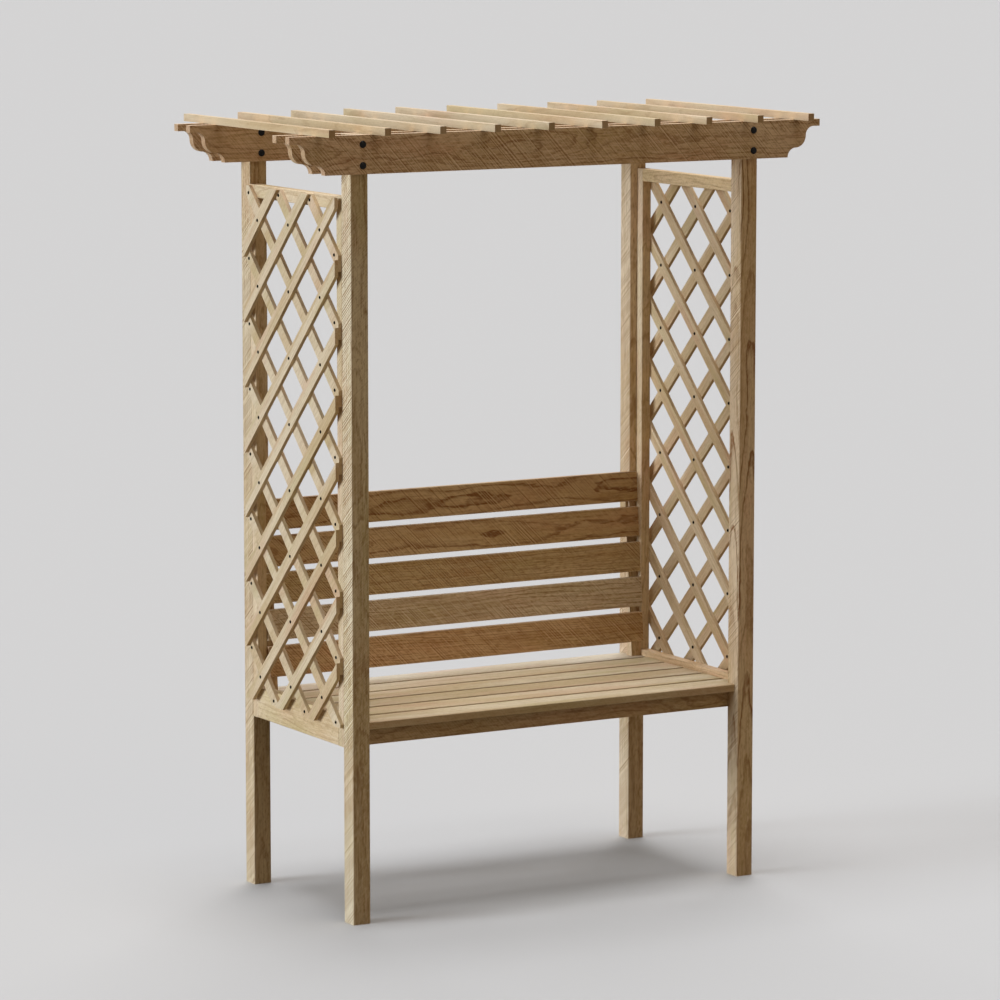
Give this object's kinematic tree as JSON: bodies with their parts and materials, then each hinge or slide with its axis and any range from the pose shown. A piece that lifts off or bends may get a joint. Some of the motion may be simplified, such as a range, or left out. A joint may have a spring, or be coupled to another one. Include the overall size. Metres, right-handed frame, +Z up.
{
  "type": "garden arbour bench with pergola roof",
  "caption": "Freestanding timber garden arbour: a slatted bench with a reclined back between lattice sides, under a flat pergola roof of scroll-ended beams and open slats.",
  "frame": {"origin": "on the ground, under the middle of the roof's outline", "axes": "+X along the bench to the sitter's left, +Y to the back, +Z up"},
  "size_m": [1.595, 0.823, 2.0655],
  "materials": {
    "posts": "planed, saw marks on the sides, matt",
    "beams": "sawn, matt",
    "roof_slats": "planed, matt",
    "side_frames": "planed, matt",
    "lattice": "sawn, matt",
    "seat": "planed, matt",
    "seat_frame": "sawn, matt",
    "backrest": "sawn, matt",
    "black_fixings": "black, half gloss"
  },
  "bodies": {
    "root": {"back_batten_left": "backrest", "back_batten_right": "backrest", "back_board_1": "backrest", "back_board_2": "backrest", "back_board_3": "backrest", "back_board_4": "backrest", "back_board_5": "backrest", "beam_front_inner": "beams", "beam_front_outer": "beams", "beam_rear_inner": "beams", "beam_rear_outer": "beams", "lattice_left": "lattice", "lattice_right": "lattice", "post_front_left": "posts", "post_front_right": "posts", "post_rear_left": "posts", "post_rear_right": "posts", "roof_slat_01": "roof_slats", "roof_slat_02": "roof_slats", "roof_slat_03": "roof_slats", "roof_slat_04": "roof_slats", "roof_slat_05": "roof_slats", "roof_slat_06": "roof_slats", "roof_slat_07": "roof_slats", "roof_slat_08": "roof_slats", "roof_slat_09": "roof_slats", "roof_slat_10": "roof_slats", "seat_bearer_left": "seat_frame", "seat_bearer_middle": "seat_frame", "seat_bearer_right": "seat_frame", "seat_rail_front": "seat_frame", "seat_rail_rear": "seat_frame", "seat_slat_1": "seat", "seat_slat_2": "seat", "seat_slat_3": "seat", "seat_slat_4": "seat", "seat_slat_5": "seat", "seat_slat_6": "seat", "side_left_bottom_rail": "side_frames", "side_left_stile_front": "side_frames", "side_left_stile_rear": "side_frames", "side_left_top_rail": "side_frames", "side_right_bottom_rail": "side_frames", "side_right_stile_front": "side_frames", "side_right_stile_rear": "side_frames", "side_right_top_rail": "side_frames"}
  },
  "joints": []
}
